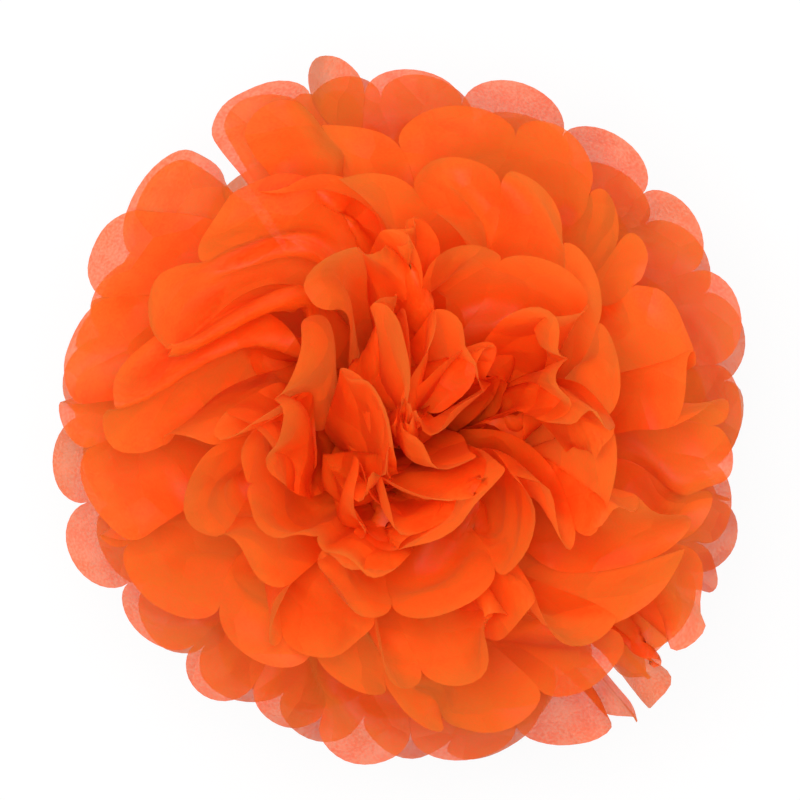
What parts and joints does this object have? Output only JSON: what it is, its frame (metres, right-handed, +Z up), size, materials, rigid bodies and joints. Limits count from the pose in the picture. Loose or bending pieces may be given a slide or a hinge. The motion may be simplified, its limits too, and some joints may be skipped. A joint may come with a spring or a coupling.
{
  "type": "tissue paper pom pom",
  "caption": "Round tissue paper pom pom: pleated sheets tied at the middle with wire, their round-cut ends fanned out and pulled apart into a full ball of scalloped petals.",
  "frame": {"origin": "on the surface that the pom pom lies on, straight below the wire tie", "axes": "+Z up, out of the open face; X along the pleated strip, through the middles of the two half fans; Y along the slit between the fans"},
  "size_m": [0.2453, 0.2465, 0.2398],
  "materials": {
    "tissue_paper": "matt, soft, lets light through",
    "tie_wire": "plain soft wire"
  },
  "bodies": {
    "root": {"tissue_sheet_01": "tissue_paper", "tissue_sheet_02": "tissue_paper", "tissue_sheet_03": "tissue_paper", "tissue_sheet_04": "tissue_paper", "tissue_sheet_05": "tissue_paper", "tissue_sheet_06": "tissue_paper", "tissue_sheet_07": "tissue_paper", "tissue_sheet_08": "tissue_paper", "tissue_sheet_09": "tissue_paper", "tissue_sheet_10": "tissue_paper", "wire_tie": "tie_wire"}
  },
  "joints": []
}
